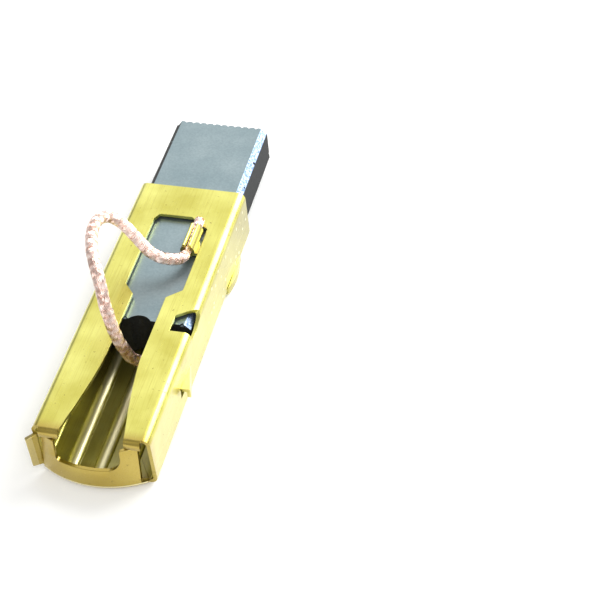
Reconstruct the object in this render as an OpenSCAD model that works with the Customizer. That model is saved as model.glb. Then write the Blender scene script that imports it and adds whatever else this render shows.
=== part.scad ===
// Carbon brush for a universal motor: a carbon block that slides in a folded brass sleeve.
// Frame: origin at the middle of the sleeve's mouth, on its underside. +Y runs out of the mouth
// towards the contact face, +Z is up and +X is the side that carries the crimp.

/* [Carbon] */
// Width of the carbon block, across X
carbon_w = 11; // [9:0.1:14]
// Thickness of the carbon block, along Z
carbon_t = 5; // [4:0.1:7]
// Length of the carbon block, from contact face to rear face
carbon_l = 32; // [28:0.5:36]
// How far the contact face stands out of the mouth at rest
nose_out = 12; // [9:0.1:14]
// Chamfer along the block's four long edges
carbon_chamfer = 0.65; // [0.3:0.05:0.9]
// Number of bedding grooves across the contact face
groove_count = 13; // [7:2:17]
// Depth of a bedding groove
groove_depth = 0.22; // [0.1:0.02:0.4]
// Radius of the hole that takes the lead
lead_hole_r = 1.4; // [1.1:0.05:1.7]
// Distance of the lead's hole from the middle of the block, towards the crimp's side
lead_x = 3; // [2.8:0.1:3.2]
// Depth of the hole that takes the lead
lead_hole_depth = 5; // [3:0.5:8]
// Radius of the upright groove in the rear face that seats the spring's arm
heel_r = 1.5; // [1:0.1:1.6]
// Depth of that groove
heel_depth = 0.6; // [0.3:0.1:0.9]

/* [Fit] */
// Gap between the carbon and each side wall
side_gap = 0.2; // [0.1:0.01:0.3]
// Gap between the carbon and the runner ribs under it
low_gap = 0.05; // [0.03:0.01:0.12]
// Gap between the carbon and the flanges above it
top_gap = 0.25; // [0.15:0.05:0.5]
// Radial gap round the lead, in the crimp and in the packed hole
lead_gap = 0.02; // [0.01:0.01:0.05]
// Radial gap round the packed powder in its hole
pack_gap = 0.01; // [0.01:0.005:0.02]

/* [Sleeve] */
// Thickness of the brass sheet
sheet = 0.4; // [0.3:0.05:0.5]
// Length of the sleeve, from its mouth to the rear ends of its side walls
sleeve_l = 35.8; // [34:0.1:40]
// Outer radius of the folds
bend_r = 0.9; // [0.7:0.05:1.1]
// Number of runner ribs pressed in the floor
rib_count = 3; // [1:2:3]
// Spacing of the runner ribs
rib_pitch = 2.9; // [2.4:0.1:3.2]
// Height of a rib above the floor
rib_h = 0.42; // [0.35:0.01:0.6]
// Outer radius of a rib's half-round back
rib_r = 0.85; // [0.7:0.05:1]

/* [Window and slot] */
// Distance from the mouth to the window's front edge
window_y = 4.7; // [4:0.1:6]
// Length of the window, from its front edge to the start of its rear chamfers
window_l = 11; // [10.8:0.1:12.5]
// Width of the window
window_w = 6.3; // [6:0.1:6.6]
// Shift of the window towards the crimp
window_x = 0.35; // [0.1:0.05:0.5]
// Length of the rear chamfers, along the slot
window_taper = 1.3; // [0.8:0.1:2]
// Front chamfer on the crimp's side, across and along
chamfer_big = [2.2, 1.6];
// Front chamfer on the other side, across and along
chamfer_small = [0.45, 0.8];
// Shift of the slot towards the crimp
slot_x = 0.2; // [0:0.05:0.3]
// Width of the slot behind the window
slot_w = 3.6; // [3:0.1:4.2]
// Distance from the mouth to where the slot starts to widen
flare_y = 25.8; // [24:0.1:28]
// Width of the slot at the rear end of the flanges
flare_w = 6.6; // [6:0.1:7.4]

/* [Crimp] */
// Outer radius of the crimped barrel
barrel_r = 0.8; // [0.75:0.01:0.9]
// Length of the barrel
barrel_l = 3.4; // [3:0.1:4]
// Distance from the mouth to the barrel's front end
barrel_y = 7; // [6.6:0.1:7.4]
// Distance of the barrel's axis from the middle of the sleeve
barrel_x = 2.5; // [2.4:0.05:2.6]
// Length of the neck that ties the barrel to the window's edge
neck_l = 1.1; // [0.8:0.1:1.6]

/* [Rear wall] */
// How far the rear wall bows out behind the side walls
bow = 2.1; // [1.7:0.1:2.4]
// Shift of the bow's middle away from the crimp's side
bow_x = 0.1; // [0:0.1:0.8]
// Outer radius of the bowed wall, in plan
bow_r = 10.4; // [9.5:0.1:12]
// How far the bowed tail springs up from the underside, so that the sleeve rests on its flat floor
tail_lift = 0.08; // [0.05:0.01:0.15]
// How far the wall leans in at its top
wall_lean = 0.6; // [0.4:0.1:1]
// Height of the notch's lower edge
notch_z = 3; // [2:0.1:3.4]
// Shift of the notch away from the crimp's side
notch_x = 0.25; // [0:0.05:0.5]
// Width of the notch
notch_w = 6.8; // [6:0.1:7.2]
// Radius of the notch's lower corner on the crimp's side, and on the other side
notch_r = [1.3, 0.5];
// Gap between an end of the rear wall and the side wall's inner face
corner_gap = 0.2; // [0.1:0.05:0.4]
// Wider gap above the fold, on the crimp's side
corner_slit = 0.95; // [0.5:0.05:1.2]
// Drop of the lip at the rear end of each flange
lip_h = 1; // [0.8:0.05:1.2]

/* [Lugs] */
// Distance from the mouth to the root of the rear barb
barb_y = 23; // [22.5:0.1:24]
// Length of the rear barb
barb_l = 3.5; // [2.8:0.1:3.8]
// How far the rear barb's free end stands out of the side wall
barb_out = 1; // [0.6:0.1:1.2]
// Height of the rear barb
barb_h = 1.2; // [1:0.1:2]
// Height of the rear barb's lower edge above the underside
barb_z = 2.4; // [2:0.1:2.8]
// Distance from the mouth to the root of the low lug
lug_y = 4.1; // [3:0.1:5]
// Length of the low lug
lug_l = 5.5; // [4:0.1:6]
// How far the low lug stands out of the side wall
lug_out = 0.4; // [0.2:0.1:0.6]
// Height of the low lug
lug_h = 0.9; // [0.7:0.1:1]
// Length of the bent ear at the rear corner
ear_l = 0.9; // [0.6:0.1:1.4]
// Angle of the ear from the side wall
ear_angle = 53; // [30:1:70]
// Gap cut round each lug
lance_gap = 0.15; // [0.1:0.05:0.3]

/* [Side cut-out] */
// Distance from the mouth to the cut-out's front end, at the side wall
cut_y = 17.8; // [17:0.1:18.5]
// Length of the cut-out
cut_l = 3.7; // [3:0.1:4.5]
// How far the cut-out reaches in across the top, from the side wall
cut_in = 2.3; // [1.8:0.05:2.6]
// Depth of the cut-out down the side wall
cut_down = 1.3; // [1:0.1:1.6]

/* [Hidden] */
$fn = 64;
eps = 0.01;
through = 20;

brass = "#c9b458";
carbon_grey = "#5b6468";
powder = "#8a4b32";
copper = "#c98a6b";

// Sleeve section, worked out from the carbon and its gaps
sleeve_w = carbon_w + 2 * (side_gap + sheet);
carbon_z = sheet + rib_h + low_gap;
sleeve_h = carbon_z + carbon_t + top_gap + sheet;
half_w = sleeve_w / 2;
fold_in_r = bend_r - sheet;
carbon_rear = nose_out - carbon_l;
carbon_mid_z = carbon_z + carbon_t / 2;

// Window and slot outline
window_right = window_x + window_w / 2;
window_left = window_x - window_w / 2;
window_rear = -window_y - window_l;
slot_front = window_rear - window_taper;

// Crimp: the barrel rests level with the flange's underside
barrel_z = sleeve_h - sheet + barrel_r;
barrel_rear = -barrel_y - barrel_l;
// The barrel's walls lean in over the rope and leave a narrow open seam between their rounded lips
seam = 0.42 * barrel_r;
lip_top = 1.05 * barrel_r;

// Rear wall: centre of the bow, height of the wall and its end angle
bow_y = -sleeve_l - bow + bow_r;
wall_top = sleeve_h - lip_h - tail_lift - 0.1;
wall_half = half_w - sheet - corner_gap;
wall_ends = [for (side = [-1, 1]) asin((side * wall_half + bow_x) / bow_r)];

// Height of the low lug's lower edge above the underside
lug_z = 0.1;

// The ear: height of its root above the underside, and how much its free end is cut back
ear_low = 0.7;
ear_high = sleeve_h - bend_r - 0.4;
ear_taper = [0.15, 0.3];

// Lead: radius of the rope, and the points of its centre line from the cut end to the carbon
lead_r = 0.8;
crimped_r = 0.48;
tip_r = 0.6;
lead_route = [
    [2.5, -5.4, 6.92], [2.5, -6.4, 6.92], [2.5, -6.9, 6.92], [2.5, -10.5, 6.92],
    [2.2, -11.6, 7], [1.4, -12.4, 7.5], [0.4, -12.9, 8.1], [-0.7, -12.9, 8.8], [-1.8, -12.4, 9.6],
    [-2.8, -12, 10.5], [-3.9, -11.6, 11.3], [-4.9, -11.8, 12.1], [-5.4, -12.9, 12.9],
    [-5.4, -14.7, 13.6], [-4.9, -16.9, 14], [-4.2, -18.8, 14.1], [-3.4, -20.4, 13.9],
    [-2.6, -21.8, 13.3], [-2.1, -22.7, 12.4], [-1.7, -23.5, 11.4], [-1.3, -24, 10.3],
    [-0.9, -24.4, 8.9], [-0.5, -24.6, 7.5], [-0.1, -24.6, 6.3], [0.3, -24.5, 5.2], [0.8, -24.1, 4.3],
    [1.5, -23.6, 3.7], [2.2, -22.9, 3.4], [2.8, -21.9, 3.37], [3, -20.8, 3.37], [3, -16, 3.37]
];
lead_sides = 8;

// ---------- plane outlines ----------

module rounded_box(w, h, r) {
    square([w - 2 * r, h], center = true);
    square([w, h - 2 * r], center = true);
    for (x = [-1, 1], y = [-1, 1])
        translate([x * (w / 2 - r), y * (h / 2 - r)]) circle(r);
}

// Tube section with half-round runner ribs pressed up out of its floor
module sleeve_section() {
    difference() {
        union() {
            difference() {
                translate([0, sleeve_h / 2]) rounded_box(sleeve_w, sleeve_h, bend_r);
                translate([0, sleeve_h / 2])
                    rounded_box(sleeve_w - 2 * sheet, sleeve_h - 2 * sheet, fold_in_r);
            }
            for (i = [0 : rib_count - 1]) rib_at(i) intersection() {
                circle(rib_r);
                translate([-rib_r, -rib_axis_z]) square([2 * rib_r, 2 * rib_r]);
            }
        }
        for (i = [0 : rib_count - 1]) rib_at(i) circle(rib_r - sheet);
    }
}
rib_axis_z = sheet + rib_h - rib_r;
module rib_at(i) translate([(i - (rib_count - 1) / 2) * rib_pitch, rib_axis_z]) children();

// Half width of the slot at a distance from the mouth: straight, then flaring on a soft curve
function slot_half(y) =
    let (s = max(0, (y - flare_y) / (sleeve_l - flare_y)))
    slot_w / 2 + (flare_w - slot_w) / 2 * pow(s, 1.35);
flare_steps = 8;
function flare_edge(side) = [for (i = [0 : flare_steps])
    let (y = flare_y + (sleeve_l - flare_y) * i / flare_steps)
    [slot_x + side * slot_half(y), i == flare_steps ? -y - eps : -y]];
function backwards(list) = [for (i = [len(list) - 1 : -1 : 0]) list[i]];

// Window, slot and its flared rear end, as one opening in the top
module top_opening() {
    polygon(concat(
        [
            [window_left, -window_y - chamfer_small[1]],
            [window_left + chamfer_small[0], -window_y],
            [window_right - chamfer_big[0], -window_y],
            [window_right, -window_y - chamfer_big[1]],
            [window_right, window_rear],
            [slot_x + slot_w / 2, slot_front]
        ],
        flare_edge(1),
        backwards(flare_edge(-1)),
        [[slot_x - slot_w / 2, slot_front], [window_left, window_rear]]
    ));
}

// ---------- sleeve ----------

// Draws a plan outline as a prism between two heights
module prism(low, high) translate([0, 0, low]) linear_extrude(high - low) children();

// The cut-out runs in across the top and over the fold, down the side wall
module side_cut() {
    intersection() {
        prism(sleeve_h - cut_down - eps, sleeve_h + 1) polygon([
            [half_w + 1, -cut_y], [half_w, -cut_y], [half_w - cut_in, -cut_y - 0.42 * cut_l],
            [half_w - cut_in, -cut_y - cut_l], [half_w + 1, -cut_y - cut_l]
        ]);
        translate([half_w - cut_in - 1, 0, 0]) rotate([90, 0, 90]) linear_extrude(cut_in + 3) polygon([
            [-cut_y + 1, sleeve_h + 1], [-cut_y, sleeve_h - 0.3], [-cut_y - 0.15 * cut_l, sleeve_h - 0.7],
            [-cut_y - 0.6 * cut_l, sleeve_h - cut_down], [-cut_y - cut_l - 1, sleeve_h - cut_down + 0.2],
            [-cut_y - cut_l - 1, sleeve_h + 1]
        ]);
    }
}

// Slit left in the side wall round a lug's free end
module lance_hole(y, length, z, height) {
    translate([half_w - 1, -y - length - lance_gap, z]) cube([2, length + lance_gap, height]);
}

module tube() {
    difference() {
        rotate([90, 0, 0]) linear_extrude(sleeve_l) sleeve_section();
        prism(sleeve_h - sheet - 0.2, sleeve_h + 1) top_opening();
        side_cut();
        lance_hole(barb_y, barb_l, barb_z - lance_gap, barb_h + lance_gap);
        lance_hole(lug_y + 0.6 * lug_l, 0.4 * lug_l, lug_z + lug_h, lance_gap);
    }
}

// Rear barb: half a louver, pressed out of the side wall and open below and behind
module barb() {
    outer = half_w + barb_out;
    root = -barb_y + eps;
    tip = -barb_y - barb_l;
    prism(barb_z, barb_z + barb_h) polygon([
        [half_w - sheet, root], [half_w, root], [outer, tip], [outer - sheet, tip]
    ]);
    prism(barb_z + barb_h - sheet, barb_z + barb_h)
        polygon([[half_w - sheet, root], [half_w, root], [outer, tip], [half_w - sheet, tip]]);
}

// Low lug: a strip along the lower fold, bowed out and free at its rear end
module low_lug() {
    steps = [[0, 0], [0.13, 0.25], [0.3, 0.7], [0.48, 0.95], [0.65, 1], [0.84, 0.65], [1, 0.3]];
    outer = [for (s = steps) [half_w + s[1] * lug_out, -lug_y - s[0] * lug_l]];
    inner = [for (p = outer) p - [sheet, 0]];
    prism(lug_z, lug_z + lug_h) polygon(concat(outer, backwards(inner)));
}

// Ear: the rear end of the other side wall, bent outwards
module ear() {
    translate([-half_w, -sleeve_l + eps, 0]) rotate([0, 0, -90 - ear_angle]) rotate([90, 0, 0])
        translate([0, 0, -sheet]) linear_extrude(sheet) polygon([
            [-0.3, ear_low], [ear_l, ear_low + ear_taper[0]],
            [ear_l, ear_high - ear_taper[1]], [-0.3, ear_high]
        ]);
}

// Section of the rear wall in a plane through the bow's axis
module wall_section() {
    bend = bow_r - bend_r;
    translate([bend - 2.3, 0]) square([2.3, sheet]);
    intersection() {
        translate([bend, bend_r]) difference() {
            circle(bend_r);
            circle(fold_in_r);
        }
        translate([bend, 0]) square(bend_r);
    }
    polygon([
        [bow_r, bend_r], [bow_r - wall_lean, wall_top],
        [bow_r - wall_lean - sheet, wall_top], [bow_r - sheet, bend_r]
    ]);
}

// The wall is bent up from the floor and bowed in plan, with a wide notch and a slit at one end
module rear_wall() {
    left = -notch_x - notch_w / 2;
    right = left + notch_w;
    difference() {
        translate([-bow_x, bow_y, tail_lift]) rotate([0, 0, wall_ends[0] - 90])
            rotate_extrude(angle = wall_ends[1] - wall_ends[0], $fn = 128) wall_section();
        translate([0, bow_y - bow_r / 2, 0]) rotate([90, 0, 0]) linear_extrude(through) {
            translate([left, notch_z + notch_r[0]]) square([notch_w, sleeve_h]);
            translate([left + notch_r[1], notch_z])
                square([notch_w - notch_r[0] - notch_r[1], sleeve_h]);
            translate([left, notch_z + notch_r[1]]) square([notch_w / 2, sleeve_h]);
            translate([left + notch_r[1], notch_z + notch_r[1]]) circle(notch_r[1]);
            translate([right - notch_r[0], notch_z + notch_r[0]]) circle(notch_r[0]);
            translate([half_w - sheet - corner_slit, bend_r]) square([2, sleeve_h]);
        }
    }
}

// Each flange's rear end turns down into a short lip over the rear wall's horn
module flange_lip(from, to) {
    r = 0.6;
    translate([from, -sleeve_l + eps, sleeve_h - r]) rotate([90, 0, 90]) linear_extrude(to - from) {
        intersection() {
            difference() {
                circle(r);
                circle(r - sheet);
            }
            translate([-r, 0]) square(r);
        }
        translate([-r, r - lip_h]) square([sheet, lip_h - r + eps]);
    }
}

// Barrel section: a rolled strip whose two walls lean in over the rope and end in rounded lips
module barrel_section() {
    bore = crimped_r + lead_gap;
    wall = barrel_r - bore;
    difference() {
        union() {
            circle(barrel_r);
            for (side = [-1, 1]) {
                polygon([
                    [side * barrel_r, 0], [side * bore, 0],
                    [side * seam / 2, lip_top], [side * (seam / 2 + wall), lip_top]
                ]);
                translate([side * (seam + wall) / 2, lip_top]) circle(wall / 2);
            }
        }
        circle(bore);
        translate([-seam / 2, 0]) square([seam, 2 * barrel_r]);
    }
}

// The barrel and the neck that ties it to the window's edge
module crimp() {
    neck_rear = barrel_rear + 0.2;
    translate([barrel_x, -barrel_y, barrel_z]) rotate([90, 0, 0])
        linear_extrude(barrel_l) barrel_section();
    prism(sleeve_h - sheet, sleeve_h) polygon([
        [window_right + eps, neck_rear + neck_l], [window_right + eps, neck_rear],
        [barrel_x + 0.3 * barrel_r, neck_rear], [barrel_x + 0.6 * barrel_r, neck_rear + 2.6 * neck_l]
    ]);
}

module brass_sleeve() {
    color(brass) {
        tube();
        rear_wall();
        flange_lip(-half_w + bend_r, slot_x - flare_w / 2 - 0.05);
        flange_lip(slot_x + flare_w / 2 + 0.05, half_w - bend_r);
        crimp();
        barb();
        low_lug();
        ear();
    }
}

// ---------- carbon ----------

module carbon_block() {
    pitch = carbon_w / groove_count;
    c = carbon_chamfer;
    w = carbon_w / 2;
    color(carbon_grey) difference() {
        translate([0, nose_out, carbon_z]) rotate([90, 0, 0]) linear_extrude(carbon_l) polygon([
            [-w + c, 0], [w - c, 0], [w, c], [w, carbon_t - c],
            [w - c, carbon_t], [-w + c, carbon_t], [-w, carbon_t - c], [-w, c]
        ]);
        for (i = [0 : groove_count - 1])
            prism(carbon_z - 1, carbon_z + carbon_t + 1)
                translate([(i - (groove_count - 1) / 2) * pitch, nose_out]) polygon([
                    [-0.3 * pitch, eps], [0, -groove_depth], [0.3 * pitch, eps]
                ]);
        translate([lead_x, carbon_rear - eps, carbon_mid_z]) rotate([-90, 0, 0])
            cylinder(r = lead_hole_r, h = lead_hole_depth + eps);
        translate([0, carbon_rear - heel_r + heel_depth, carbon_z - 1]) cylinder(r = heel_r, h = carbon_t + 2);
    }
}

// Copper powder packed round the lead in the block's hole
module contact_plug() {
    color(powder) translate([lead_x, carbon_rear, carbon_mid_z]) rotate([-90, 0, 0]) difference() {
        cylinder(r = lead_hole_r - pack_gap, h = lead_hole_depth - pack_gap);
        translate([0, 0, -eps]) cylinder(r = lead_r + lead_gap, h = lead_hole_depth - 0.5);
    }
}

// ---------- lead ----------

function unit(v) = v / norm(v);
function tangent(p, i) = unit(p[min(i + 1, len(p) - 1)] - p[max(i - 1, 0)]);
// Carries one normal along the route, turning it no more than the route turns
function normals(p, i, last) =
    let (t = tangent(p, i), n = unit(last - (last * t) * t))
    i == len(p) - 1 ? [n] : concat([n], normals(p, i + 1, n));
function lead_radius(i) = i <= 1 ? tip_r : i <= 3 ? crimped_r : lead_r;

module lead() {
    count = len(lead_route);
    across = normals(lead_route, 0, [1, 0, 0]);
    rings = [for (i = [0 : count - 1])
        let (t = tangent(lead_route, i), n = across[i], b = cross(t, n), r = lead_radius(i))
        for (k = [0 : lead_sides - 1])
            lead_route[i] + r * (cos(360 * k / lead_sides) * n + sin(360 * k / lead_sides) * b)];
    sides = [for (i = [0 : count - 2], k = [0 : lead_sides - 1])
        let (a = i * lead_sides, m = (k + 1) % lead_sides)
        [a + k, a + m, a + lead_sides + m, a + lead_sides + k]];
    near_end = [[for (k = [0 : lead_sides - 1]) lead_sides - 1 - k]];
    far_end = [[for (k = [0 : lead_sides - 1]) (count - 1) * lead_sides + k]];
    color(copper) polyhedron(rings, concat(near_end, sides, far_end), convexity = 6);
}

brass_sleeve();
carbon_block();
contact_plug();
lead();
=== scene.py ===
"""Carbon brush for a universal motor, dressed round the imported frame.

Everything is in metres, in the frame of the CAD model: origin at the middle of the sleeve's
mouth on its underside, +Y out of the mouth towards the contact face, +Z up, +X towards the crimp's
side.
"""
import math
import random

import bmesh
import bpy
import numpy as np
from mathutils import Matrix, Vector, noise
from mathutils.bvhtree import BVHTree


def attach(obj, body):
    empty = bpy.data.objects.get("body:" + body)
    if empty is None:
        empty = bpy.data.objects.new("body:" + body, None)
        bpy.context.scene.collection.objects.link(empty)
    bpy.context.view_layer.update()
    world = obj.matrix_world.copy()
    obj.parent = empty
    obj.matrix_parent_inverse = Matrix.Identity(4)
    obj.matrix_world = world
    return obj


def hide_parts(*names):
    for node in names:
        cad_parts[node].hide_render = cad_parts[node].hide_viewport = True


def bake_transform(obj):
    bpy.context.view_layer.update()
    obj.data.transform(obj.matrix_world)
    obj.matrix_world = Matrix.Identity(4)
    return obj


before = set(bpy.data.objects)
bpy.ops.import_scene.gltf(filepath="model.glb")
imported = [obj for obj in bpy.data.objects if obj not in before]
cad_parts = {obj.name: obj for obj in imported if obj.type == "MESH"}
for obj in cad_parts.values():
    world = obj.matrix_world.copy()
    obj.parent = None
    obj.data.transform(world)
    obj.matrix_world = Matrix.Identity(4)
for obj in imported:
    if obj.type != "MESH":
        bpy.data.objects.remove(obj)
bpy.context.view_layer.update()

# ---------------------------------------------------------------- camera
# A 90 mm lens looks down over the rear end from the crimp's side, with the brush in the left of the
# frame.
LENS = 90                                       # mm
FILM_W = 36                                     # mm
NEAR = 0.005                                    # nothing nearer than this is drawn
EYE = (0.048210, -0.118319, 0.117102)
RIGHT = Vector((0.97078, 0.23012, -0.06805))    # the frame's way across
DOWN = Vector((0.11910, -0.70821, -0.69588))    # and its way down


def in_scene(name, data):
    """A new object with this data, linked into the scene."""
    made = bpy.data.objects.new(name, data)
    bpy.context.scene.collection.objects.link(made)
    return made


camera_data = bpy.data.cameras.new("camera")
camera_data.lens = LENS
camera_data.sensor_width = FILM_W
camera_data.clip_start = NEAR
camera = in_scene("camera", camera_data)
ahead = RIGHT.cross(DOWN)
camera.matrix_world = Matrix.Translation(EYE) @ Matrix((
    (RIGHT.x, -DOWN.x, -ahead.x),
    (RIGHT.y, -DOWN.y, -ahead.y),
    (RIGHT.z, -DOWN.z, -ahead.z))).to_4x4()
bpy.context.scene.camera = camera
bpy.context.scene.view_settings.view_transform = "Standard"

# ---------------------------------------------------------------- braided lead
# A limp rope of bare copper wires, braided over a core. Its cut end is pinched in the sleeve's
# crimp, and its free loop stands up over the slot and dips behind the block, where its other end is
# packed into a hole.
MM = 0.001
# the rope's middle in mm: through the crimp, round the loop and to the bottom of the block's hole
ROUTE = [
    (2.5, -5.4, 6.92), (2.5, -6.4, 6.92), (2.5, -6.9, 6.92), (2.5, -10.5, 6.92),
    (2.2, -11.6, 7), (1.4, -12.4, 7.5), (0.4, -12.9, 8.1), (-0.7, -12.9, 8.8), (-1.8, -12.4, 9.6),
    (-2.8, -12, 10.5), (-3.9, -11.6, 11.3), (-4.9, -11.8, 12.1), (-5.4, -12.9, 12.9),
    (-5.4, -14.7, 13.6), (-4.9, -16.9, 14), (-4.2, -18.8, 14.1), (-3.4, -20.4, 13.9),
    (-2.6, -21.8, 13.3), (-2.1, -22.7, 12.4), (-1.7, -23.5, 11.4), (-1.3, -24, 10.3),
    (-0.9, -24.4, 8.9), (-0.5, -24.6, 7.5), (-0.1, -24.6, 6.3), (0.3, -24.5, 5.2),
    (0.8, -24.1, 4.3), (1.5, -23.6, 3.7), (2.2, -22.9, 3.4), (2.8, -21.9, 3.37),
    (3, -20.8, 3.37), (3, -16, 3.37),
]
ROUTE_CUTS = 24       # points worked out from each point of the route to the next
ROPE_STEP = 0.16      # mm between the points of a wire
ROPE_R = 0.66         # mm, free rope
CRIMPED_R = 0.50      # mm, pinched in the crimp
CRIMP_END = 5.0       # mm along the rope to where it leaves the crimp
SWELL_L = 1.2         # mm over which it then opens out
TIP_R = 0.60          # mm, spread at the cut end
TIP_L = 1.5           # mm from the cut end to where the spread is gone
TIP_FADE = 0.5        # mm over which it goes
CARRIERS = 8          # bundles of wires each way round
WIRES = 3             # wires in a bundle
PITCH = 10.5          # mm, one turn of a bundle
WIRE_R = 0.078        # mm, coarser than the 0.03 assumed for a real one, so that each wire shows
WIRE_GAP = 1.95       # wire radii from one wire of a bundle to the next
WIRE_SIDES = 5
CORE_SIDES = 12
WEAVE = 0.022         # mm that a bundle rises and dips
STRAY = 0.12          # mm by which wires lie higher or lower than their neighbours
STRAY_LOW = -0.6      # share of that which every wire is moved by first
STRAY_LUMPS = 700     # to a metre, so that a wire strays over about 1.4 mm
RAGGED = 0.012        # share of the length by which wires end short at the cut
CUT_SEED = 7
PATCHES = 900         # to a metre, so that a patch of tarnish is about 1 mm wide


def colour(hex_code):
    """sRGB hex code to a linear RGBA colour."""
    parts = [int(hex_code[i:i + 2], 16) / 255 for i in (1, 3, 5)]
    return tuple(c / 12.92 if c <= 0.04045 else ((c + 0.055) / 1.055) ** 2.4
                 for c in parts) + (1.0,)


def fill(tree, node, links):
    """Fills a node's inputs from values or from other nodes' outputs."""
    for key, value in links.items():
        if isinstance(value, bpy.types.NodeSocket):
            tree.links.new(value, node.inputs[key])
        else:
            node.inputs[key].default_value = value


def add(tree, kind, links=None, **settings):
    """Adds a node with its settings and fills its inputs."""
    made = tree.nodes.new(kind)
    for key, value in settings.items():
        setattr(made, key, value)
    fill(tree, made, links or {})
    return made


def new_finish(name):
    """A new material, with its node tree and its shader."""
    made = bpy.data.materials.new(name)
    made.use_nodes = True
    return made, made.node_tree, made.node_tree.nodes["Principled BSDF"]


def applied(thing, name):
    """The object's mesh with its modifiers applied, under a new name. The object is removed."""
    final = bpy.data.meshes.new_from_object(
        thing.evaluated_get(bpy.context.evaluated_depsgraph_get()))
    bpy.data.objects.remove(thing)
    final.name = name
    return final


def eased(share):
    """A share from 0 to 1 that sets off and arrives softly."""
    return share ** 2 * (3 - 2 * share)


def smooth_line(points, step):
    """Centripetal spline through the points at an even step, and the distance along it."""
    pts = np.array(points, float)
    pts = np.vstack([2 * pts[0] - pts[1], pts, 2 * pts[-1] - pts[-2]])
    fine = []
    for p0, p1, p2, p3 in zip(pts, pts[1:], pts[2:], pts[3:]):
        t = np.cumsum([0] + [np.linalg.norm(b - a) ** 0.5
                             for a, b in ((p0, p1), (p1, p2), (p2, p3))])
        for u in np.linspace(t[1], t[2], ROUTE_CUTS, endpoint=False):
            a1 = (t[1] - u) / (t[1] - t[0]) * p0 + (u - t[0]) / (t[1] - t[0]) * p1
            a2 = (t[2] - u) / (t[2] - t[1]) * p1 + (u - t[1]) / (t[2] - t[1]) * p2
            a3 = (t[3] - u) / (t[3] - t[2]) * p2 + (u - t[2]) / (t[3] - t[2]) * p3
            b1 = (t[2] - u) / (t[2] - t[0]) * a1 + (u - t[0]) / (t[2] - t[0]) * a2
            b2 = (t[3] - u) / (t[3] - t[1]) * a2 + (u - t[1]) / (t[3] - t[1]) * a3
            fine.append((t[2] - u) / (t[2] - t[1]) * b1 + (u - t[1]) / (t[2] - t[1]) * b2)
    fine = np.array(fine + [pts[-2]])
    along = np.concatenate([[0], np.cumsum(np.linalg.norm(np.diff(fine, axis=0), axis=1))])
    even = np.linspace(0, along[-1], int(along[-1] / step) + 1)
    return np.stack([np.interp(even, along, fine[:, k]) for k in range(3)], axis=1), even


line, dist = smooth_line(ROUTE, ROPE_STEP)
opening_out = np.clip((dist - CRIMP_END) / SWELL_L, 0, 1)
at_tip = np.clip((TIP_L - dist) / TIP_FADE, 0, 1)
rope_r = (CRIMPED_R + (ROPE_R - CRIMPED_R) * eased(opening_out)
          + (TIP_R - CRIMPED_R) * eased(at_tip))

copper, tree, shader = new_finish("bare_copper_wire")
# drawn copper: pale pink, with patches of tarnish, and painted shade in the hollows between the
# bundles
crown = add(tree, "ShaderNodeAttribute", attribute_name="crown")
coords = add(tree, "ShaderNodeTexCoord")
patches = add(tree, "ShaderNodeTexNoise", {
    "Vector": coords.outputs["Object"], "Scale": PATCHES, "Detail": 4})
lit_and_clean = add(tree, "ShaderNodeMath", {0: crown.outputs["Fac"], 1: patches.outputs["Fac"]},
            operation="MULTIPLY")
# where the crown is low the ramp's brown is painted shade, and where it is high its near-white is a
# painted highlight on the bundles' crowns
ramp = add(tree, "ShaderNodeValToRGB", {"Fac": lit_and_clean.outputs["Value"]})
for stop, place, hex_code in zip(ramp.color_ramp.elements, (0.12, 0.55), ("#b98670", "#fdeae2")):
    stop.position, stop.color = place, colour(hex_code)
middle = ramp.color_ramp.elements.new(0.3)
middle.color = colour("#f5d6c9")
rough = add(tree, "ShaderNodeMapRange", {
    "Value": patches.outputs["Fac"], "To Min": 0.2, "To Max": 0.34})
fill(tree, shader, {"Base Color": ramp.outputs["Color"], "Roughness": rough.outputs["Result"],
                    "Metallic": 1.0})

# the braid's tree: copies of the route wind round it both ways, rise and dip over each other, and
# become wires
braid = bpy.data.node_groups.new("braid", "GeometryNodeTree")
braid.interface.new_socket("Route", in_out="INPUT", socket_type="NodeSocketGeometry")
for label, kind in (("Carriers", "Int"), ("Wires", "Int"), ("Pitch", "Float"),
                    ("Wire radius", "Float"), ("Weave height", "Float"), ("Stray", "Float"),
                    ("Ragged end", "Float"), ("Metal", "Material")):
    braid.interface.new_socket(label, in_out="INPUT", socket_type="NodeSocket" + kind)
braid.interface.new_socket("Rope", in_out="OUTPUT", socket_type="NodeSocketGeometry")
given = add(braid, "NodeGroupInput").outputs
rope_axis = add(braid, "GeometryNodeMeshToCurve", {"Mesh": given["Route"]})
own_radius = add(braid, "GeometryNodeInputNamedAttribute", {"Name": "rope_radius"},
                 data_type="FLOAT")
one_way = add(braid, "ShaderNodeMath", {0: given["Carriers"], 1: given["Wires"]},
              operation="MULTIPLY")
both_ways = add(braid, "ShaderNodeMath", {0: one_way.outputs[0], 1: 2.0}, operation="MULTIPLY")
copies = add(braid, "GeometryNodeDuplicateElements", {
    "Geometry": rope_axis.outputs["Curve"], "Amount": both_ways.outputs[0]}, domain="SPLINE")
number = copies.outputs["Duplicate Index"]
backward = add(braid, "ShaderNodeMath", {0: one_way.outputs[0], 1: number}, operation="LESS_THAN")
edge_case = add(braid, "ShaderNodeMath", {0: one_way.outputs[0], 1: number, 2: 0.5},
                operation="COMPARE")
other_way = add(braid, "ShaderNodeMath", {0: backward.outputs[0], 1: edge_case.outputs[0]},
                operation="MAXIMUM")
way = add(braid, "ShaderNodeMath", {0: other_way.outputs[0], 1: -2.0, 2: 1.0},
          operation="MULTIPLY_ADD")
place = add(braid, "ShaderNodeMath", {0: number, 1: one_way.outputs[0]}, operation="MODULO")
share = add(braid, "ShaderNodeMath", {0: place.outputs[0], 1: given["Wires"]}, operation="DIVIDE")
carrier = add(braid, "ShaderNodeMath", {0: share.outputs[0]}, operation="FLOOR")
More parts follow.
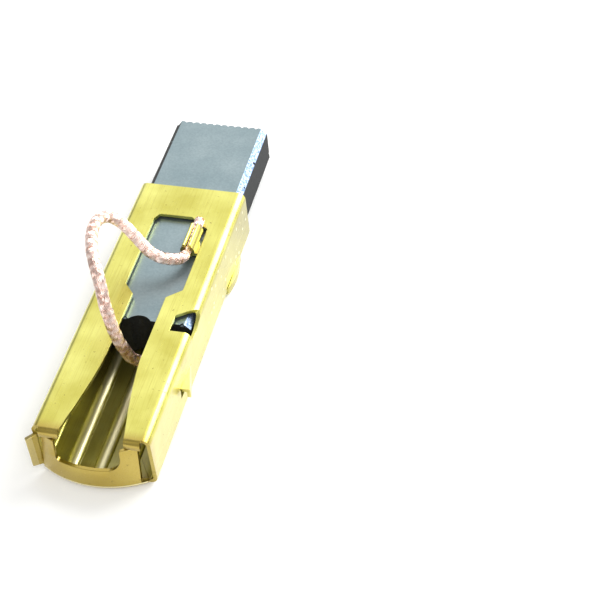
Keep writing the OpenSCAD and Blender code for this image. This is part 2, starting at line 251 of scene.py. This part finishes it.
in_bundle = add(braid, "ShaderNodeMath", {0: place.outputs[0], 1: given["Wires"]},
                operation="MODULO")
spare = add(braid, "ShaderNodeMath", {0: given["Wires"], 1: -0.5, 2: 0.5}, operation="MULTIPLY_ADD")
aside = add(braid, "ShaderNodeMath", {0: in_bundle.outputs[0], 1: spare.outputs[0]},
            operation="ADD")
aside_mm = add(braid, "ShaderNodeMath", {0: aside.outputs[0], 1: given["Wire radius"]},
               operation="MULTIPLY")
aside_wide = add(braid, "ShaderNodeMath", {0: aside_mm.outputs[0], 1: WIRE_GAP},
                 operation="MULTIPLY")
along = add(braid, "GeometryNodeSplineParameter")
turns = add(braid, "ShaderNodeMath", {0: along.outputs["Length"], 1: given["Pitch"]},
            operation="DIVIDE")
turn = add(braid, "ShaderNodeMath", {0: turns.outputs[0], 1: 2 * math.pi}, operation="MULTIPLY")
crossing = add(braid, "ShaderNodeMath", {0: turn.outputs[0], 1: given["Carriers"]},
               operation="MULTIPLY")
wave = add(braid, "ShaderNodeMath", {0: crossing.outputs[0]}, operation="SINE")
over = add(braid, "ShaderNodeMath", {0: wave.outputs[0], 1: way.outputs[0]}, operation="MULTIPLY")
rise = add(braid, "ShaderNodeMath", {0: over.outputs[0], 1: -1.0}, operation="ADD")
rise_mm = add(braid, "ShaderNodeMath", {0: rise.outputs[0], 1: given["Weave height"]},
              operation="MULTIPLY")
inner = add(braid, "ShaderNodeMath", {0: own_radius.outputs["Attribute"], 1: given["Wire radius"]},
            operation="SUBTRACT")
place_on_rope = add(braid, "GeometryNodeInputPosition")
stray = add(braid, "ShaderNodeTexNoise", {
    "Vector": place_on_rope.outputs["Position"], "W": number, "Scale": STRAY_LUMPS, "Detail": 1.0},
    noise_dimensions="4D")
stray_low = add(braid, "ShaderNodeMath", {0: given["Stray"], 1: STRAY_LOW}, operation="MULTIPLY")
stray_mm = add(braid, "ShaderNodeMath", {
    0: stray.outputs["Fac"], 1: given["Stray"], 2: stray_low.outputs[0]}, operation="MULTIPLY_ADD")
level = add(braid, "ShaderNodeMath", {0: inner.outputs[0], 1: rise_mm.outputs[0]}, operation="ADD")
reach = add(braid, "ShaderNodeMath", {0: level.outputs[0], 1: stray_mm.outputs[0]}, operation="ADD")
half_step = add(braid, "ShaderNodeMath", {0: other_way.outputs[0], 1: 0.5, 2: carrier.outputs[0]},
                operation="MULTIPLY_ADD")
start_share = add(braid, "ShaderNodeMath", {0: half_step.outputs[0], 1: given["Carriers"]},
                  operation="DIVIDE")
start = add(braid, "ShaderNodeMath", {0: start_share.outputs[0], 1: 2 * math.pi},
            operation="MULTIPLY")
wound = add(braid, "ShaderNodeMath", {0: turn.outputs[0], 1: way.outputs[0], 2: start.outputs[0]},
            operation="MULTIPLY_ADD")
shift = add(braid, "ShaderNodeMath", {0: aside_wide.outputs[0], 1: reach.outputs[0]},
            operation="DIVIDE")
angle = add(braid, "ShaderNodeMath", {0: wound.outputs[0], 1: shift.outputs[0]}, operation="ADD")
cosine = add(braid, "ShaderNodeMath", {0: angle.outputs[0]}, operation="COSINE")
sine = add(braid, "ShaderNodeMath", {0: angle.outputs[0]}, operation="SINE")
normal = add(braid, "GeometryNodeInputNormal")
tangent = add(braid, "GeometryNodeInputTangent")
binormal = add(braid, "ShaderNodeVectorMath", {
    0: tangent.outputs["Tangent"], 1: normal.outputs["Normal"]}, operation="CROSS_PRODUCT")
up_part = add(braid, "ShaderNodeVectorMath", {
    0: normal.outputs["Normal"], "Scale": cosine.outputs[0]}, operation="SCALE")
side_part = add(braid, "ShaderNodeVectorMath", {0: binormal.outputs[0], "Scale": sine.outputs[0]},
                operation="SCALE")
outward = add(braid, "ShaderNodeVectorMath", {0: up_part.outputs[0], 1: side_part.outputs[0]},
              operation="ADD")
offset = add(braid, "ShaderNodeVectorMath", {0: outward.outputs[0], "Scale": reach.outputs[0]},
             operation="SCALE")
crown_share = add(braid, "ShaderNodeMapRange", {"Value": over.outputs[0], "From Min": -1.0})
marked = add(braid, "GeometryNodeStoreNamedAttribute", {
    "Geometry": copies.outputs["Geometry"], "Name": "crown",
    "Value": crown_share.outputs["Result"]},
    data_type="FLOAT", domain="POINT")
moved = add(braid, "GeometryNodeSetPosition", {
    "Geometry": marked.outputs["Geometry"], "Offset": offset.outputs[0]})
cut_back = add(braid, "FunctionNodeRandomValue", {"Seed": CUT_SEED}, data_type="FLOAT")
braid.links.new(given["Ragged end"], cut_back.inputs[3])
trimmed = add(braid, "GeometryNodeTrimCurve", {
    "Curve": moved.outputs["Geometry"], "Start": cut_back.outputs[1]})
section = add(braid, "GeometryNodeCurvePrimitiveCircle", {
    "Resolution": WIRE_SIDES, "Radius": given["Wire radius"]})
wires = add(braid, "GeometryNodeCurveToMesh", {
    "Curve": trimmed.outputs["Curve"], "Profile Curve": section.outputs["Curve"],
    "Fill Caps": True})
core_in = add(braid, "ShaderNodeMath", {0: inner.outputs[0], 1: given["Weave height"]},
              operation="SUBTRACT")
core_section = add(braid, "GeometryNodeCurvePrimitiveCircle", {
    "Resolution": CORE_SIDES, "Radius": 1.0})
core = add(braid, "GeometryNodeCurveToMesh", {
    "Curve": rope_axis.outputs["Curve"], "Profile Curve": core_section.outputs["Curve"],
    "Scale": core_in.outputs[0], "Fill Caps": True})
both = add(braid, "GeometryNodeJoinGeometry")
for part in (core, wires):
    braid.links.new(part.outputs["Mesh"], both.inputs["Geometry"])
solid = add(braid, "GeometryNodeRealizeInstances", {"Geometry": both.outputs["Geometry"]})
soft_shaded = add(braid, "GeometryNodeSetShadeSmooth", {"Geometry": solid.outputs["Geometry"]})
metal = add(braid, "GeometryNodeSetMaterial", {
    "Geometry": soft_shaded.outputs["Geometry"], "Material": given["Metal"]})
add(braid, "NodeGroupOutput", {"Rope": metal.outputs["Geometry"]})

axis_mesh = bpy.data.meshes.new("rope_axis")
axis_mesh.from_pydata([tuple(p * MM) for p in line], [(i, i + 1) for i in range(len(line) - 1)], [])
axis_mesh.attributes.new("rope_radius", "FLOAT", "POINT").data.foreach_set("value", rope_r * MM)
axis = in_scene("rope_axis", axis_mesh)
modifier = axis.modifiers.new("braid", "NODES")
modifier.node_group = braid
for label, value in (("Carriers", CARRIERS), ("Wires", WIRES), ("Pitch", PITCH * MM),
                     ("Wire radius", WIRE_R * MM), ("Weave height", WEAVE * MM),
                     ("Stray", STRAY * MM), ("Ragged end", RAGGED), ("Metal", copper)):
    modifier[braid.interface.items_tree[label].identifier] = value
lead = in_scene("braided_lead", applied(axis, "braided_lead"))
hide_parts("lead")
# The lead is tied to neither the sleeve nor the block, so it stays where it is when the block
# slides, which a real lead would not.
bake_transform(lead)

# ---------------------------------------------------------------- sleeve
# One blank of cold-rolled yellow brass, pierced, pressed and folded into a box that meets along the
# slotted top. Its edges are sheared, so they are broken only by a hair's width.
SHEAR_BREAK = 0.045    # mm
LEAST_FACE = 0.05      # mm2: edges of smaller faces are left
FOLD = 32              # degrees: gentler turns are folds and are shaded round
MERGE = 1e-6           # m: corners nearer than this are one
FLAT = 0.5             # degrees: facets that turn less than this are one face
SHARP = 35             # degrees: sharper edges are broken
SHORTEST = 4           # widths of the break: shorter edges are left
THROWN = 0.8           # widths of the break: corners further off the solid go back onto it


def finished_copy(node, name, width, least_face):
    """A node's solid with its corners merged and the edges between its larger faces broken."""
    form = bmesh.new()
    form.from_mesh(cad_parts[node].data)
    bmesh.ops.remove_doubles(form, verts=form.verts, dist=MERGE)
    bmesh.ops.dissolve_limit(form, angle_limit=math.radians(FLAT), verts=form.verts,
                             edges=form.edges)
    skin = BVHTree.FromBMesh(form)
    edges = [edge for edge in form.edges
             if len(edge.link_faces) == 2 and edge.calc_face_angle() > math.radians(SHARP)
             and edge.calc_length() > SHORTEST * width * MM
             and min(face.calc_area() for face in edge.link_faces) > least_face * MM * MM]
    bmesh.ops.bevel(form, geom=edges, offset=width * MM, offset_type="OFFSET", segments=2,
                    profile=0.5, affect="EDGES", clamp_overlap=False)
    # a corner that the bevel threw past the solid goes back onto it
    for vert in form.verts:
        nearest, _, _, gap = skin.find_nearest(vert.co)
        if gap > THROWN * width * MM:
            vert.co = nearest
    finished = bpy.data.meshes.new(name)
    form.to_mesh(finished)
    form.free()
    return finished


sleeve_mesh = finished_copy("brass_sleeve", "folded_sleeve", SHEAR_BREAK, LEAST_FACE)
for polygon in sleeve_mesh.polygons:
    polygon.use_smooth = True
sleeve_mesh.set_sharp_from_angle(angle=math.radians(FOLD))
folded = in_scene("folded", sleeve_mesh)
wide_faces = folded.modifiers.new("wide_faces_stay_flat", "WEIGHTED_NORMAL")
wide_faces.keep_sharp = True
wide_faces.weight = 100
sleeve_mesh = applied(folded, "folded_sleeve")
sleeve = in_scene("folded_sleeve", sleeve_mesh)
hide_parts("brass_sleeve")
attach(sleeve, "sleeve")

# patterns, as so many to a metre: clouds of tone 5 mm wide, rolling lines 0.1 mm apart, waves in
# the sheet 3 mm long, specks 0.4 mm wide and dents 1 mm apart
CLOUDS, ROLL_LINES, SHEET_WAVES, SPECKS, DENTS = 190, 9000, 330, 2600, 1000
LINE_STRETCH = 0.02        # a rolling line is 50 times longer than wide
# places where the finish changes, in mm
WALL_X = 6.06              # the side walls' outsides lie beyond this
INSIDE_X = 5.3             # the floor between the walls lies within this
REAR_Y = (-34.5, -36.2)    # the bent rear end browns from the first to the second
PALE_REFLECTION_Y = (-2, -30)       # likewise the walls pale towards the rear, a painted reflection
DARK_REFLECTION_Y = (-18, -3)      # and darken towards the mouth, a painted dark reflection
DENTED_Y = (-17, -14)      # and dented
FLOOR_Z = 0.36             # the floor's top lies above this
DUST_AND_SHADE_Z = (0.68, 0.45)      # carbon dust and painted shade lie in the valleys, darker from the first to the second
RIB_HIGHLIGHT_Z = (0.58, 0.74)       # the ribs carry a painted highlight from the first to the second
RIB_TOP = 0.9
CRIMP_MIDDLE = (2.5, -8.7, 6.9)
CRIMP_HALF = (1.1, 1.8, 0.62)

brass, tree, shader = new_finish("rolled_yellow_brass")
# rolled brass: lemon yellow, with faint lines along the strip, a few specks, browner at the bent
# rear end
coords = add(tree, "ShaderNodeTexCoord")
where = add(tree, "ShaderNodeSeparateXYZ", {"Vector": coords.outputs["Object"]})
tone = add(tree, "ShaderNodeTexNoise", {
    "Vector": coords.outputs["Object"], "Scale": CLOUDS, "Detail": 5})
ramp = add(tree, "ShaderNodeValToRGB", {"Fac": tone.outputs["Fac"]})
for stop, place, hex_code in zip(ramp.color_ramp.elements, (0.32, 0.68), ("#c6bf50", "#e6e37c")):
    stop.position, stop.color = place, colour(hex_code)
strip = add(tree, "ShaderNodeMapping", {
    "Vector": coords.outputs["Object"], "Scale": (1, LINE_STRETCH, 1)})
lines = add(tree, "ShaderNodeTexNoise", {
    "Vector": strip.outputs["Vector"], "Scale": ROLL_LINES, "Detail": 3})
lined = add(tree, "ShaderNodeMix", {6: ramp.outputs["Color"], 7: colour("#b9ab3e")},
            data_type="RGBA")
line_share = add(tree, "ShaderNodeMapRange", {
    "Value": lines.outputs["Fac"], "From Min": 0.5, "From Max": 0.8, "To Max": 0.5})
tree.links.new(line_share.outputs["Result"], lined.inputs["Factor"])
rear = add(tree, "ShaderNodeMapRange", {
    "Value": where.outputs["Y"], "From Min": REAR_Y[0] * MM, "From Max": REAR_Y[1] * MM,
    "To Max": 0.75},
    interpolation_type="SMOOTHSTEP")
browned = add(tree, "ShaderNodeMix", {
    "Factor": rear.outputs["Result"], 6: lined.outputs[2], 7: colour("#a98830")}, data_type="RGBA")
low = add(tree, "ShaderNodeMapRange", {
    "Value": where.outputs["Z"], "From Min": DUST_AND_SHADE_Z[0] * MM, "From Max": DUST_AND_SHADE_Z[1] * MM},
    interpolation_type="SMOOTHSTEP")
sideways = add(tree, "ShaderNodeMath", {0: where.outputs["X"]}, operation="ABSOLUTE")
# the walls pale towards the rear and darken to khaki near the mouth, both painted reflection, and
# near the mouth are pricked with dents whose pale colour is a painted glint
wall = add(tree, "ShaderNodeMath", {0: sideways.outputs[0], 1: WALL_X * MM},
           operation="GREATER_THAN")
pale_reflection = add(tree, "ShaderNodeMapRange", {
    "Value": where.outputs["Y"], "From Min": PALE_REFLECTION_Y[0] * MM, "From Max": PALE_REFLECTION_Y[1] * MM,
    "To Max": 0.5})
pale_reflection_share = add(tree, "ShaderNodeMath", {0: wall.outputs[0], 1: pale_reflection.outputs["Result"]},
                 operation="MULTIPLY")
pale = add(tree, "ShaderNodeMix", {
    "Factor": pale_reflection_share.outputs[0], 6: browned.outputs[2], 7: colour("#d9cb92")}, data_type="RGBA")
cell = add(tree, "ShaderNodeTexVoronoi", {"Vector": coords.outputs["Object"], "Scale": DENTS})
pit = add(tree, "ShaderNodeMapRange", {
    "Value": cell.outputs["Distance"], "From Min": 0.24, "From Max": 0.12})
near_mouth = add(tree, "ShaderNodeMapRange", {
    "Value": where.outputs["Y"], "From Min": DENTED_Y[0] * MM, "From Max": DENTED_Y[1] * MM})
pit_wall = add(tree, "ShaderNodeMath", {0: pit.outputs["Result"], 1: wall.outputs[0]},
               operation="MULTIPLY")
dents = add(tree, "ShaderNodeMath", {0: pit_wall.outputs[0], 1: near_mouth.outputs["Result"]},
            operation="MULTIPLY")
# khaki near the mouth: a painted dark reflection on the walls
dark_reflection = add(tree, "ShaderNodeMapRange", {
    "Value": where.outputs["Y"], "From Min": DARK_REFLECTION_Y[0] * MM, "From Max": DARK_REFLECTION_Y[1] * MM,
    "To Max": 0.6})
dark_reflection_share = add(tree, "ShaderNodeMath", {0: wall.outputs[0], 1: dark_reflection.outputs["Result"]},
                  operation="MULTIPLY")
khaki = add(tree, "ShaderNodeMix", {
    "Factor": dark_reflection_share.outputs[0], 6: pale.outputs[2], 7: colour("#9a8b48")}, data_type="RGBA")
# the dents' pale cream colour is a painted glint; the dents themselves are bumped into the normal
dent_glints = add(tree, "ShaderNodeMix", {
    "Factor": dents.outputs[0], 6: khaki.outputs[2], 7: colour("#fff7c8")}, data_type="RGBA")
# the crimp's sides are browned, a painted shade
crimp_shade = 0.6
for axis_name, middle, half in zip("XYZ", CRIMP_MIDDLE, CRIMP_HALF):
    near = add(tree, "ShaderNodeMath", {0: where.outputs[axis_name], 1: middle * MM, 2: half * MM},
               operation="COMPARE")
    crimp_shade = add(tree, "ShaderNodeMath", {0: near.outputs[0], 1: crimp_shade},
               operation="MULTIPLY").outputs[0]
crimp_shaded = add(tree, "ShaderNodeMix", {
    "Factor": crimp_shade, 6: dent_glints.outputs[2], 7: colour("#8a7228")}, data_type="RGBA")
off_floor = add(tree, "ShaderNodeMath", {0: where.outputs["Z"], 1: FLOOR_Z * MM},
                operation="GREATER_THAN")
within = add(tree, "ShaderNodeMath", {0: sideways.outputs[0], 1: INSIDE_X * MM},
             operation="LESS_THAN")
# the valleys between the ribs are darkened by carbon dust and by painted shade
dust_and_shade_low = add(tree, "ShaderNodeMath", {0: low.outputs["Result"], 1: off_floor.outputs[0]},
             operation="MULTIPLY")
dust_and_shade_inside = add(tree, "ShaderNodeMath", {0: dust_and_shade_low.outputs[0], 1: within.outputs[0]},
             operation="MULTIPLY")
dust_and_shade = add(tree, "ShaderNodeMath", {0: dust_and_shade_inside.outputs[0], 1: 0.55}, operation="MULTIPLY")
dusty_and_shaded = add(tree, "ShaderNodeMix", {
    "Factor": dust_and_shade.outputs[0], 6: crimp_shaded.outputs[2], 7: colour("#6b5826")}, data_type="RGBA")
fleck = add(tree, "ShaderNodeTexNoise", {
    "Vector": coords.outputs["Object"], "Scale": SPECKS, "Detail": 2})
fleck_share = add(tree, "ShaderNodeMapRange", {
    "Value": fleck.outputs["Fac"], "From Min": 0.68, "From Max": 0.74, "To Max": 0.7})
flecked = add(tree, "ShaderNodeMix", {
    "Factor": fleck_share.outputs["Result"], 6: dusty_and_shaded.outputs[2], 7: colour("#8d7a2c")},
    data_type="RGBA")
# the tops of the three ribs carry a pale painted highlight and are made satin
rib_highlight_height = add(tree, "ShaderNodeMapRange", {
    "Value": where.outputs["Z"], "From Min": RIB_HIGHLIGHT_Z[0] * MM, "From Max": RIB_HIGHLIGHT_Z[1] * MM})
not_high = add(tree, "ShaderNodeMath", {0: where.outputs["Z"], 1: RIB_TOP * MM},
               operation="LESS_THAN")
rib_highlight_capped = add(tree, "ShaderNodeMath", {0: rib_highlight_height.outputs["Result"], 1: not_high.outputs[0]},
            operation="MULTIPLY")
rib_highlight = add(tree, "ShaderNodeMath", {0: rib_highlight_capped.outputs[0], 1: within.outputs[0]},
            operation="MULTIPLY")
rib_highlighted = add(tree, "ShaderNodeMix", {
    "Factor": rib_highlight.outputs[0], 6: flecked.outputs[2], 7: colour("#f6eebc")}, data_type="RGBA")
fine = add(tree, "ShaderNodeMapRange", {
    "Value": lines.outputs["Fac"], "To Min": 0.2, "To Max": 0.42})
rough = add(tree, "ShaderNodeMath", {0: rib_highlight.outputs[0], 1: 0.15, 2: fine.outputs["Result"]},
            operation="MULTIPLY_ADD")
dull = add(tree, "ShaderNodeMath", {0: dust_and_shade.outputs[0], 1: 0.3, 2: rough.outputs[0]},
           operation="MULTIPLY_ADD")
waves = add(tree, "ShaderNodeTexNoise", {
    "Vector": coords.outputs["Object"], "Scale": SHEET_WAVES, "Detail": 2})
soft_bump = add(tree, "ShaderNodeBump", {
    "Height": waves.outputs["Fac"], "Strength": 0.25, "Distance": 0.0002})
dent_bump = add(tree, "ShaderNodeBump", {
    "Height": dents.outputs[0], "Normal": soft_bump.outputs["Normal"], "Strength": 0.6,
    "Distance": 0.00006},
    invert=True)
bump = add(tree, "ShaderNodeBump", {
    "Height": lines.outputs["Fac"], "Normal": dent_bump.outputs["Normal"], "Strength": 0.3,
    "Distance": 0.00001})
fill(tree, shader, {"Base Color": rib_highlighted.outputs[2], "Roughness": dull.outputs[0],
                    "Normal": bump.outputs["Normal"], "Metallic": 1.0})
# taken to have a thin clear passivation, which pales the brass where it is seen edge on
fill(tree, shader, {"Coat Weight": 0.6, "Coat Roughness": 0.12, "Coat IOR": 1.6})
sleeve_mesh.materials.append(brass)

# ---------------------------------------------------------------- carbon block
# A pressed and baked block of electrographite. Its wide faces are ground and carry a painted grey
# sheen while its sides are painted dark as shade, one long corner carries a painted reflection, and
# its edges crumble a little.
EDGE_BREAK = 0.06      # mm
GROOVE_FACE = 3        # mm2: the faces of the bedding grooves are smaller, so their edges are left
CHIP_SEED = 11
CHIP_RAGGED = 0.45     # share of a chip's size by which it is uneven
CHIP_LUMPS = 1.7       # lumps across a chip
GRAIN = 4200           # to a metre, so that a grain is about 0.2 mm, coarse enough to show
SMEARS = 230           # to a metre, so that a smear is about 4 mm wide
# the chips' centres and sizes in mm
CHIPS = [((-5.5, 12.0, 5.87), 0.75), ((5.2, 12.0, 5.3), 0.3), ((-5.4, 4.2, 5.5), 0.2),
         ((-5.0, 8.3, 5.8), 0.17), ((5.4, 6.4, 5.3), 0.2), ((5.3, 2.1, 5.3), 0.16),
         ((5.5, 9.8, 1.0), 0.28), ((-5.5, 11.8, 1.1), 0.35), ((0.8, 12.0, 0.87), 0.3),
         ((2.6, 12.0, 5.87), 0.16), ((5.4, 12.0, 2.2), 0.2), ((-1.6, -20, 5.87), 0.22),
         ((4.6, -20, 5.8), 0.25), ((-4.9, -20, 5.7), 0.25)]
block_mesh = finished_copy("carbon_block", "carbon_block_ground", EDGE_BREAK, GROOVE_FACE)
draw = random.Random(CHIP_SEED)
chip_form = bmesh.new()
for (cx, cy, cz), size in CHIPS:
    bite = bmesh.ops.create_icosphere(chip_form, subdivisions=2, radius=size * MM)["verts"]
    seed = Vector((draw.uniform(-9, 9), draw.uniform(-9, 9), draw.uniform(-9, 9)))
    for vert in bite:
        ragged = 1 + CHIP_RAGGED * noise.noise(vert.co.normalized() * CHIP_LUMPS + seed)
        vert.co = vert.co * ragged + Vector((cx, cy, cz)) * MM
chip_mesh = bpy.data.meshes.new("chips")
chip_form.to_mesh(chip_mesh)
chip_form.free()
chips = in_scene("chips", chip_mesh)
blank = in_scene("block_blank", block_mesh)
cut = blank.modifiers.new("chipped", "BOOLEAN")
cut.operation = "DIFFERENCE"
cut.object = chips
cut.solver = "EXACT"
block_mesh = applied(blank, "carbon_block_ground")
bpy.data.objects.remove(chips)
for polygon in block_mesh.polygons:
    polygon.use_smooth = False
block = in_scene("carbon_block_ground", block_mesh)
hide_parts("carbon_block")
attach(block, "carbon")

carbon, tree, shader = new_finish("electrographite")
# a semi-metal: the ground faces mirror light softly and carry a painted blue-grey sheen, the
# pressed sides are painted near black as shade
coords = add(tree, "ShaderNodeTexCoord")
facing = add(tree, "ShaderNodeSeparateXYZ", {"Vector": coords.outputs["Normal"]})
flat = add(tree, "ShaderNodeMath", {0: facing.outputs["Z"]}, operation="ABSOLUTE")
aslant = add(tree, "ShaderNodeMath", {0: facing.outputs["X"]}, operation="ABSOLUTE")
wide_face = add(tree, "ShaderNodeMath", {0: flat.outputs[0], 1: aslant.outputs[0]},
                operation="SUBTRACT")
ground_and_sheen = add(tree, "ShaderNodeMapRange", {
    "Value": wide_face.outputs[0], "From Min": 0.3, "From Max": 0.6})
corner = add(tree, "ShaderNodeVectorMath", {0: coords.outputs["Normal"], 1: (0.7071, 0, 0.7071)},
             operation="DOT_PRODUCT")
dressed_and_reflecting = add(tree, "ShaderNodeMapRange", {
    "Value": corner.outputs["Value"], "From Min": 0.9, "From Max": 0.97})
grain = add(tree, "ShaderNodeTexNoise", {
    "Vector": coords.outputs["Object"], "Scale": GRAIN, "Detail": 6})
cloud = add(tree, "ShaderNodeTexNoise", {
    "Vector": coords.outputs["Object"], "Scale": SMEARS, "Detail": 3})
# painted shade: the pressed sides' near-black tone
shaded_side_tone = add(tree, "ShaderNodeValToRGB", {"Fac": grain.outputs["Fac"]})
for stop, place, hex_code in zip(shaded_side_tone.color_ramp.elements, (0.35, 0.7),
                                 ("#101213", "#232629")):
    stop.position, stop.color = place, colour(hex_code)
# painted sheen: the ground faces' lighter blue-grey tone
lit_top_tone = add(tree, "ShaderNodeValToRGB", {"Fac": cloud.outputs["Fac"]})
for stop, place, hex_code in zip(lit_top_tone.color_ramp.elements, (0.3, 0.7), ("#8b9da2", "#9cacb0")):
    stop.position, stop.color = place, colour(hex_code)
speckle = add(tree, "ShaderNodeMapRange", {
    "Value": grain.outputs["Fac"], "From Min": 0.35, "From Max": 0.65, "To Min": 0.82})
lit_top_grain = add(tree, "ShaderNodeMix", {
    "Factor": speckle.outputs["Result"], 6: colour("#5d686c"), 7: lit_top_tone.outputs["Color"]},
    data_type="RGBA")
lit_and_shaded_tone = add(tree, "ShaderNodeMix", {
    "Factor": ground_and_sheen.outputs["Result"], 6: shaded_side_tone.outputs["Color"], 7: lit_top_grain.outputs[2]},
    data_type="RGBA")
# painted reflection: the pale blue of the +X long corner
corner_reflection = add(tree, "ShaderNodeValToRGB", {"Fac": grain.outputs["Fac"]})
for stop, place, hex_code in zip(corner_reflection.color_ramp.elements, (0.42, 0.62), ("#5f7698", "#a9bad4")):
    stop.position, stop.color = place, colour(hex_code)
whole = add(tree, "ShaderNodeMix", {
    "Factor": dressed_and_reflecting.outputs["Result"], 6: lit_and_shaded_tone.outputs[2], 7: corner_reflection.outputs["Color"]},
    data_type="RGBA")
sheen = add(tree, "ShaderNodeMath", {0: ground_and_sheen.outputs["Result"], 1: dressed_and_reflecting.outputs["Result"]},
            operation="MAXIMUM")
metal_share = add(tree, "ShaderNodeMapRange", {
    "Value": sheen.outputs[0], "To Min": 0.05, "To Max": 0.85})
rough = add(tree, "ShaderNodeMapRange", {"Value": sheen.outputs[0], "To Min": 0.62, "To Max": 0.4})
bump = add(tree, "ShaderNodeBump", {
    "Height": grain.outputs["Fac"], "Strength": 0.35, "Distance": 0.00003})
fill(tree, shader, {"Base Color": whole.outputs[2], "Metallic": metal_share.outputs["Result"],
                    "Roughness": rough.outputs["Result"], "Normal": bump.outputs["Normal"],
                    "Specular IOR Level": 0.35})
block_mesh.materials.append(carbon)

# ---------------------------------------------------------------- contact plug
# Copper powder stamped round the lead in its hole in the block's rear face. It is dull and crumbly.
CRUMBS = 3000          # to a metre, so that a crumb is about 0.3 mm, coarse enough to show

powder, tree, shader = new_finish("stamped_copper_powder")
coords = add(tree, "ShaderNodeTexCoord")
grain = add(tree, "ShaderNodeTexNoise", {
    "Vector": coords.outputs["Object"], "Scale": CRUMBS, "Detail": 4})
ramp = add(tree, "ShaderNodeValToRGB", {"Fac": grain.outputs["Fac"]})
for stop, place, hex_code in zip(ramp.color_ramp.elements, (0.35, 0.7), ("#5a3424", "#a0664a")):
    stop.position, stop.color = place, colour(hex_code)
rough = add(tree, "ShaderNodeMapRange", {
    "Value": grain.outputs["Fac"], "To Min": 0.55, "To Max": 0.85})
bump = add(tree, "ShaderNodeBump", {
    "Height": grain.outputs["Fac"], "Strength": 0.8, "Distance": 0.0001})
fill(tree, shader, {"Base Color": ramp.outputs["Color"], "Roughness": rough.outputs["Result"],
                    "Normal": bump.outputs["Normal"], "Metallic": 0.5})
plug_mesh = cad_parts["contact_plug"].data
plug_mesh.materials.clear()
plug_mesh.materials.append(powder)

# ---------------------------------------------------------------- floor and light
# A white paper floor, a weak soft panel and a stronger lamp in front of the mouth, one behind the
# rear end, and an even sky.
FLOOR_HALF = 3                 # m
PAPER_LIFT = 0.14              # glow that keeps the paper white to the eye and lights nothing
SKY = 0.45
AIM = (0, -0.012, 0.004)       # the brush's middle, where every lamp points
LAMPS = (                      # name, place and size in m, watts
    ("panel", (-0.16, 0.34, 0.38), (0.45, 0.45), 0.55),
    ("strip", (0.235, 0.35, 0.265), (0.36, 0.36), 2.9),
    ("rear", (0.13, -0.34, 0.42), (0.35, 0.35), 1.3))

floor_mesh = bpy.data.meshes.new("floor")
floor_form = bmesh.new()
bmesh.ops.create_grid(floor_form, x_segments=1, y_segments=1, size=FLOOR_HALF)
floor_form.to_mesh(floor_mesh)
floor_form.free()
floor = in_scene("floor", floor_mesh)
paper, tree, shader = new_finish("white_paper")
rays = add(tree, "ShaderNodeLightPath")
seen = add(tree, "ShaderNodeMath", {
    0: rays.outputs["Is Camera Ray"], 1: rays.outputs["Is Glossy Ray"]}, operation="MAXIMUM")
seen_all = add(tree, "ShaderNodeMath", {0: seen.outputs[0], 1: rays.outputs["Is Transmission Ray"]},
               operation="MAXIMUM")
lift = add(tree, "ShaderNodeMath", {0: seen_all.outputs[0], 1: PAPER_LIFT}, operation="MULTIPLY")
fill(tree, shader, {"Base Color": colour("#f4f4f2"), "Roughness": 0.9,
                    "Emission Color": (1, 1, 1, 1), "Emission Strength": lift.outputs[0]})
floor_mesh.materials.append(paper)

world = bpy.data.worlds.new("studio")
world.use_nodes = True
fill(world.node_tree, world.node_tree.nodes["Background"], {"Color": (1, 1, 1, 1), "Strength": SKY})
bpy.context.scene.world = world
for name, place, size, watts in LAMPS:
    lamp_data = bpy.data.lights.new(name, "AREA")
    lamp_data.energy = watts
    lamp_data.shape = "RECTANGLE"
    lamp_data.size, lamp_data.size_y = size
    lamp = in_scene(name, lamp_data)
    lamp.location = place
    lamp.rotation_euler = (Vector(AIM) - Vector(place)).to_track_quat("-Z", "Y").to_euler()
